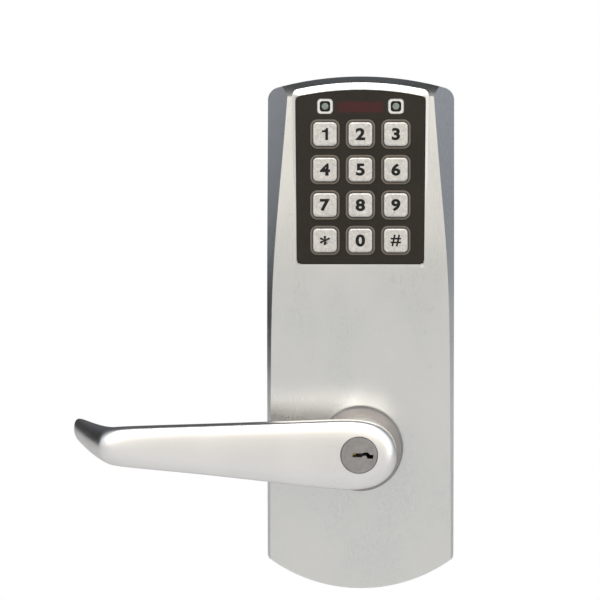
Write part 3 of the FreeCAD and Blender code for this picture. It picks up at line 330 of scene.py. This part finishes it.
lens_finish = Finish("smoked_lens", Metallic=0.0, Coat_Weight=0.8, Coat_Roughness=0.05, IOR=1.49)
haze = lens_finish.noise(900.0, 2.0)
lens_finish.feed(
    Base_Color=lens_finish.mix(haze, (0.09, 0.12, 0.10, 1.0), (0.26, 0.31, 0.26, 1.0)),
    Roughness=0.25 + (haze - 0.5) * 0.15,
)
lens_finish.coat_nodes("indicator_lenses", "indicator_leds")


# ---------------------------------------------------------------- lever
# One zinc casting, polished and plated: a bar that tapers from its round hub to a crowned nose,
# then bends sharply back and thins towards the door, so that sleeves don't catch on it.
along_bar = (60.0, 2600.0, 2600.0)
# painted light: the lever's chrome is coloured lighter than the housing's, for the brighter light it catches
# standing out in front
lever_painted_light_finish = satin_chrome(
    "satin_chrome_lever_painted_light", (0.89, 0.875, 0.855), (0.81, 0.795, 0.775), 0.30, 0.06, along_bar
)

# Each step along the bar: reach to the left, depth, turn in degrees, lowest, highest, thickness, squareness,
# and how far its ends hold back towards the hub, which draws the nose as an arc.
BAR_STEPS = (
    (-16.6, 54.6, 0, -4.6, 4.6, 8.6, 2.2, 0.0),
    (-15.6, 54.9, 0, -8.2, 8.2, 10.8, 2.3, 0.0),
    (-12.8, 55.1, 0, -12.0, 12.0, 12.7, 2.5, 0.0),
    (-8.0, 55.2, 0, -15.6, 15.5, 13.5, 2.8, 0.0),
    (0.0, 55.2, 0, -17.5, 17.2, 13.6, 3.4, 0.0),
    (10.0, 55.2, 0, -17.2, 17.2, 13.6, 3.4, 0.0),
    (22.0, 55.2, 0, -15.9, 16.6, 13.5, 3.4, 0.0),
    (45.0, 55.2, 0, -13.2, 15.6, 13.3, 3.4, 0.0),
    (70.0, 55.2, 0, -10.4, 14.6, 13.0, 3.3, 0.0),
    (90.0, 55.3, 0, -8.5, 13.9, 12.7, 3.2, 0.3),
    (103.0, 55.2, 0, -7.4, 13.4, 12.2, 3.0, 1.8),
    (110.8, 54.9, 5, -6.8, 13.1, 11.8, 2.7, 4.0),
    (114.0, 54.5, 12, -6.5, 12.9, 11.5, 2.4, 5.2),
    (115.6, 54.0, 30, -6.3, 12.7, 11.2, 2.3, 5.4),
    (116.4, 53.4, 50, -6.0, 12.6, 10.6, 2.3, 5.0),
    (117.6, 50.6, 62, -5.5, 12.4, 9.6, 2.2, 4.2),
    (120.2, 45.0, 64, -4.4, 12.3, 8.9, 2.2, 3.0),
    (123.0, 38.8, 64, -2.9, 12.5, 8.2, 2.2, 2.0),
    (126.0, 32.2, 65, -1.1, 12.9, 7.4, 2.2, 1.2),
    (128.8, 26.0, 66, 0.8, 13.3, 6.8, 2.2, 0.7),
    (131.2, 20.8, 68, 2.4, 13.6, 6.0, 2.2, 0.4),
    (132.3, 16.9, 70, 3.9, 13.3, 5.0, 2.2, 0.2),
    (132.9, 15.2, 72, 5.4, 12.4, 3.2, 2.0, 0.0),
)
bar = bmesh.new()
rings = []
for reach, depth, turn, lowest, highest, thick, square, held in BAR_STEPS:
    made = bmesh.ops.create_circle(bar, segments=24, radius=1.0, cap_ends=False)["verts"]
    for vert in made:
        vert.co.x = math.copysign(abs(vert.co.x) ** (2 / square), vert.co.x)
        vert.co.y = math.copysign(abs(vert.co.y) ** (2 / square), vert.co.y)
        vert.co.x *= 1.0 - 0.06 * (1.0 + vert.co.y)
    tall, wide = (highest - lowest) / 2, thick / 2
    lay = (
        Matrix.Translation((-reach, -depth, (lowest + highest) / 2))
        @ Matrix.Rotation(math.radians(-turn), 4, "Z")
        @ Matrix(((0, 0, 1, 0), (0, wide, 0, 0), (tall, 0, 0, 0), (0, 0, 0, 1)))
    )
    bmesh.ops.transform(bar, matrix=lay, verts=made)
    for vert in made:
        off = min(1.0, abs(vert.co.z - (lowest + highest) / 2) / tall)
        vert.co.x += held * (1 - math.sqrt(1 - off * off))
    rings.append([edge for edge in bar.edges if edge.verts[0] in made and edge.verts[1] in made])
for first, second in zip(rings, rings[1:]):
    bmesh.ops.bridge_loops(bar, edges=first + second)
for ring in (rings[0], rings[-1]):
    cap = bmesh.ops.contextual_create(bar, geom=ring)["faces"]
    bmesh.ops.inset_region(bar, faces=cap, thickness=0.9, depth=0.35)
bmesh.ops.recalc_face_normals(bar, faces=bar.faces)
bmesh.ops.scale(bar, vec=(MM, MM, MM), verts=bar.verts)
bar_mesh = bpy.data.meshes.new("lever_bar")
bar.to_mesh(bar_mesh)
bar.free()
bar_object = bpy.data.objects.new("lever_bar", bar_mesh)
scene.collection.objects.link(bar_object)
smoother = bar_object.modifiers.new("smooth", "SUBSURF")
smoother.levels = smoother.render_levels = 3


def turned_piece(name, outline, segments=96):
    """A closed mesh spun about the lever's axis from an outline of (depth, radius) in millimetres."""
    made = bmesh.new()
    verts = [made.verts.new((radius * MM, -depth * MM, 0.0)) for depth, radius in outline]
    edges = [made.edges.new((a, b)) for a, b in zip(verts, verts[1:])]
    bmesh.ops.spin(
        made, geom=verts + edges, axis=(0, 1, 0), cent=(0, 0, 0), angle=2 * math.pi, steps=segments, use_merge=True
    )
    bmesh.ops.remove_doubles(made, verts=made.verts, dist=1e-7)
    bmesh.ops.recalc_face_normals(made, faces=made.faces)
    mesh = bpy.data.meshes.new(name)
    made.to_mesh(mesh)
    made.free()
    thing = bpy.data.objects.new(name, mesh)
    scene.collection.objects.link(thing)
    return thing


def applied(thing):
    """The object with its modifiers made into its mesh."""
    bpy.context.view_layer.update()
    evaluated = thing.evaluated_get(bpy.context.evaluated_depsgraph_get())
    mesh = bpy.data.meshes.new_from_object(evaluated)
    thing.modifiers.clear()
    thing.data = mesh
    return thing


applied(bar_object)
neck = turned_piece(
    "neck", ((54.0, 0.0), (54.0, 15.5), (31.0, 15.5), (29.8, 15.2), (29.2, 14.6), (29.0, 13.8), (29.0, 0.0))
)
bore = turned_piece(
    "bore",
    ((70.0, 0.0), (70.0, 9.3), (62.2, 9.0), (61.6, 8.5), (36.2, 8.5), (36.2, 10.9), (20.0, 10.9), (20.0, 0.0)),
)
for other, operation in ((neck, "UNION"), (bore, "DIFFERENCE")):
    step = bar_object.modifiers.new("join", "BOOLEAN")
    step.solver = "EXACT"
    step.operation = operation
    step.object = other
    applied(bar_object)
    bpy.data.objects.remove(other)
bar_object.name = "lever_casting"
bar_object.data.materials.clear()
bar_object.data.materials.append(lever_painted_light_finish.material)
bar_object.data.shade_smooth()
bar_object.data.set_sharp_from_angle(angle=math.radians(38))
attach(bar_object, "lever")
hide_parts("lever_handle")


# ---------------------------------------------------------------- collar, sleeve and catch
# A turned collar covers the lever's bearing. The steel sleeve, its clip and the push-in catch hold the lever on.
# painted shade: the collar's chrome is coloured far darker than the housing's, for the shadow the lever casts over
# it
collar_painted_shade_finish = satin_chrome("satin_chrome_collar_painted_shade", (0.40, 0.38, 0.365), (0.31, 0.295, 0.285), 0.30, 0.10)
collar_painted_shade_finish.coat_nodes("lever_collar")

steel_finish = Finish("bright_turned_steel", Metallic=1.0)
feed_marks = steel_finish.noise(1.0, 2.0, stretch=(120.0, 3000.0, 120.0))
steel_finish.feed(
    Base_Color=steel_finish.mix(feed_marks, (0.55, 0.55, 0.56, 1.0), (0.72, 0.72, 0.73, 1.0)),
    Roughness=0.32 + (feed_marks - 0.5) * 0.15,
)
steel_finish.bump(feed_marks, 0.00001)
steel_finish.coat_nodes(
    "lever_sleeve", "sleeve_clip", "lever_catch", "cylinder_retainer", "plug_clip", "tailpiece", "pin_springs",
    "return_spring", "clutch_follower", "clutch_pin", "drive_screw", "dome_switches",
)


# ---------------------------------------------------------------- key cylinder
# Brass shell and plug under satin nickel, with a level keyway; the plug's face is turned, with fine rings.
nickel_finish = Finish("satin_nickel_cylinder", Metallic=1.0)
where = nickel_finish.place(scale=(1000.0, 1.0, 1000.0))
rings_value = nickel_finish.add(
    "ShaderNodeTexWave",
    {"wave_type": "RINGS", "rings_direction": "SPHERICAL"},
    {"Vector": where, "Scale": 1.1, "Distortion": 0.6, "Detail": 1.0},
)
tarnish = nickel_finish.noise(420.0, 2.0)
nickel_finish.feed(
    Base_Color=nickel_finish.mix(tarnish, (0.26, 0.25, 0.245, 1.0), (0.42, 0.40, 0.39, 1.0)),
    Roughness=0.34 + (rings_value - 0.5) * 0.08 + (tarnish - 0.5) * 0.1,
)
nickel_finish.bump(rings_value, 0.000006)
nickel_finish.coat_nodes("cylinder_shell", "key_plug")

brass_finish = Finish("plain_brass", Metallic=1.0)
dull = brass_finish.noise(800.0, 2.0)
brass_finish.feed(
    Base_Color=brass_finish.mix(dull, (0.60, 0.43, 0.17, 1.0), (0.78, 0.60, 0.28, 1.0)),
    Roughness=0.35 + (dull - 0.5) * 0.2,
)
brass_finish.coat_nodes("driver_pins", "key_pins", "lever_bush")


# ---------------------------------------------------------------- back plate, posts, spindle and fixings
# Stamped and turned steel parts under clear zinc, which shows a faint blue-white bloom.
zinc_finish = Finish("clear_zinc_steel", Metallic=1.0)
bloom = zinc_finish.noise(60.0, 4.0)
rolled = zinc_finish.noise(1.0, 2.0, stretch=(1500.0, 1500.0, 90.0))
zinc_finish.feed(
    Base_Color=zinc_finish.mix(bloom, (0.50, 0.52, 0.55, 1.0), (0.66, 0.66, 0.65, 1.0)),
    Roughness=0.40 + (rolled - 0.5) * 0.12 + (bloom - 0.5) * 0.15,
)
zinc_finish.bump(rolled, 0.00001)
zinc_finish.coat_nodes(
    "back_plate", "upper_mounting_post", "lower_mounting_post", "spindle", "stop_plate", "clutch_driver",
    "motor_bracket", "bracket_screws", "plate_screws", "board_screws", "clutch_motor",
)


# ---------------------------------------------------------------- keypad electronics
# Silicone mat over a green board with domes, chips, a header and a sounder. All of it is inside the housing.
board_finish = Finish("green_solder_mask", Metallic=0.0, Coat_Weight=0.5, Coat_Roughness=0.15)
weave = board_finish.noise(900.0, 1.0)
board_finish.feed(
    Base_Color=board_finish.mix(weave, (0.010, 0.075, 0.030, 1.0), (0.020, 0.120, 0.050, 1.0)),
    Roughness=0.35 + (weave - 0.5) * 0.15,
)
board_finish.coat_nodes("keypad_board")

mat_finish = Finish("grey_silicone_mat", Metallic=0.0)
dust = mat_finish.noise(700.0, 3.0)
mat_finish.feed(
    Base_Color=mat_finish.mix(dust, (0.16, 0.16, 0.155, 1.0), (0.24, 0.24, 0.235, 1.0)),
    Roughness=0.7 + (dust - 0.5) * 0.2,
)
mat_finish.bump(dust, 0.00003)
mat_finish.coat_nodes("keypad_mat")

chip_finish = Finish("moulded_chip_black", Metallic=0.0)
fill = chip_finish.noise(1800.0, 1.0)
chip_finish.feed(
    Base_Color=chip_finish.mix(fill, (0.012, 0.012, 0.013, 1.0), (0.030, 0.030, 0.031, 1.0)),
    Roughness=0.6 + (fill - 0.5) * 0.2,
)
chip_finish.bump(fill, 0.00002)
chip_finish.coat_nodes("board_chips", "beeper")

natural_finish = Finish("natural_acetal", Metallic=0.0)
flow = natural_finish.noise(300.0, 2.0)
natural_finish.feed(
    Base_Color=natural_finish.mix(flow, (0.66, 0.65, 0.60, 1.0), (0.78, 0.77, 0.72, 1.0)),
    Roughness=0.45 + (flow - 0.5) * 0.15,
)
natural_finish.coat_nodes("board_connector", "shifter", "thrust_washer")


# ---------------------------------------------------------------- studio
# Pale floor under the lock, soft boxes above and in front, and a room that is bright ahead and dim behind.
floor_finish = Finish("pale_floor", Roughness=0.9)
tone = floor_finish.noise(3.0, 2.0)
floor_finish.feed(Base_Color=floor_finish.mix(tone, (0.84, 0.84, 0.84, 1.0), (0.88, 0.88, 0.88, 1.0)))
floor_tree = floor_finish.tree
glow = floor_tree.nodes.new("ShaderNodeEmission")
glow.inputs["Strength"].default_value = 1.0
seen = floor_tree.nodes.new("ShaderNodeLightPath")
blend = floor_tree.nodes.new("ShaderNodeMixShader")
end = next(n for n in floor_tree.nodes if n.type == "OUTPUT_MATERIAL")
floor_tree.links.new(seen.outputs["Is Camera Ray"], blend.inputs[0])
floor_tree.links.new(floor_finish.shader.outputs[0], blend.inputs[1])
floor_tree.links.new(glow.outputs[0], blend.inputs[2])
floor_tree.links.new(blend.outputs[0], end.inputs["Surface"])
ground = bmesh.new()
bmesh.ops.create_grid(ground, x_segments=1, y_segments=1, size=4.0)
bmesh.ops.translate(ground, vec=(0, 0, -0.16), verts=ground.verts)
floor_mesh = bpy.data.meshes.new("floor")
ground.to_mesh(floor_mesh)
ground.free()
floor = bpy.data.objects.new("floor", floor_mesh)
floor_mesh.materials.append(floor_finish.material)
scene.collection.objects.link(floor)


def soft_box(name, place, target, width, height, power, tint=(1.0, 1.0, 1.0)):
    lamp = bpy.data.lights.new(name, "AREA")
    lamp.shape = "RECTANGLE"
    lamp.size, lamp.size_y = width, height
    lamp.energy = power
    lamp.color = tint
    holder = bpy.data.objects.new(name, lamp)
    scene.collection.objects.link(holder)
    holder.location = place
    holder.rotation_mode = "QUATERNION"
    holder.rotation_quaternion = (Vector(target) - Vector(place)).to_track_quat("-Z", "Y")


soft_box("overhead", (-0.10, -0.75, 1.00), (0, 0, 0.05), 1.3, 0.6, 5.0)
soft_box("front_left", (-0.9, -1.5, 0.6), (0, 0, 0.05), 0.9, 0.9, 3.0)
soft_box("front_right", (1.1, -1.4, 0.3), (0, 0, 0.05), 0.7, 0.9, 2.0)

# a dark flag past the lever's end, out of the camera's sight, which shades only the lever's return
flag_finish = Finish("dark_flag", Base_Color=(0.01, 0.01, 0.01, 1.0), Roughness=1.0)
flag_tree = flag_finish.tree
glass = flag_tree.nodes.new("ShaderNodeBsdfTransparent")
seen = flag_tree.nodes.new("ShaderNodeLightPath")
blend = flag_tree.nodes.new("ShaderNodeMixShader")
end = next(n for n in flag_tree.nodes if n.type == "OUTPUT_MATERIAL")
flag_tree.links.new(seen.outputs["Is Camera Ray"], blend.inputs[0])
flag_tree.links.new(flag_finish.shader.outputs[0], blend.inputs[1])
flag_tree.links.new(glass.outputs[0], blend.inputs[2])
flag_tree.links.new(blend.outputs[0], end.inputs["Surface"])
card = bmesh.new()
bmesh.ops.create_grid(card, x_segments=1, y_segments=1, size=0.5)
bmesh.ops.scale(card, vec=(0.19, 0.07, 1.0), verts=card.verts)
bmesh.ops.transform(
    card,
    matrix=Matrix.Translation((-0.235, 0.045, 0.042))
    @ Matrix.Rotation(math.radians(52), 4, "Z")
    @ Matrix.Rotation(math.radians(90), 4, "X"),
    verts=card.verts,
)
card_mesh = bpy.data.meshes.new("flag")
card.to_mesh(card_mesh)
card.free()
flag = bpy.data.objects.new("flag", card_mesh)
card_mesh.materials.append(flag_finish.material)
scene.collection.objects.link(flag)

room = bpy.data.worlds.new("room")
scene.world = room
room.use_nodes = True
air = room.node_tree
for node in list(air.nodes):
    air.nodes.remove(node)


class Sky(Finish):
    """The world's nodes, with the same ways of adding them."""

    def __init__(self, tree):
        self.tree = tree


sky = Sky(air)
way = sky.add("ShaderNodeTexCoord", output="Generated")
ahead = sky.add("ShaderNodeSeparateXYZ", None, {"Vector": way}, output="Y")
aside = sky.add("ShaderNodeSeparateXYZ", None, {"Vector": way}, output="X")
above = sky.add("ShaderNodeSeparateXYZ", None, {"Vector": way}, output="Z")
smooth = {"interpolation_type": "SMOOTHSTEP"}
front = sky.add("ShaderNodeMapRange", smooth, {0: ahead, 1: 0.45, 2: -0.75, 3: 0.09, 4: 0.83})
band = sky.add("ShaderNodeMapRange", smooth, {0: above, 1: 0.12, 2: 0.42, 3: 0.0, 4: 0.75})
facing = sky.add("ShaderNodeMapRange", smooth, {0: ahead, 1: -0.15, 2: -0.6, 3: 0.0, 4: 1.0})
roof = sky.add("ShaderNodeMapRange", smooth, {0: above, 1: 0.86, 2: 0.98, 3: 1.0, 4: 0.10})
right = sky.add("ShaderNodeMapRange", smooth, {0: aside, 1: 0.55, 2: 0.92, 3: 0.0, 4: 0.26})
left = sky.add("ShaderNodeMapRange", smooth, {0: aside, 1: -0.78, 2: -0.95, 3: 0.0, 4: 0.22})
level = (front + band * facing + right + left) * roof
tint = sky.add("ShaderNodeMapRange", smooth, {0: ahead, 1: 0.0, 2: -0.8, 3: 0.0, 4: 1.0})
hue = sky.mix(tint, (0.90, 0.97, 1.10, 1.0), (1.04, 1.0, 0.93, 1.0))
glimpse = sky.add("ShaderNodeLightPath", output="Is Camera Ray")
level = level * (1.0 - glimpse) + glimpse
hue = sky.mix(glimpse, hue, (1.0, 1.0, 1.0, 1.0))
lit = air.nodes.new("ShaderNodeBackground")
air.links.new(hue.socket, lit.inputs["Color"])
air.links.new(level.socket, lit.inputs["Strength"])
out = air.nodes.new("ShaderNodeOutputWorld")
air.links.new(lit.outputs[0], out.inputs["Surface"])
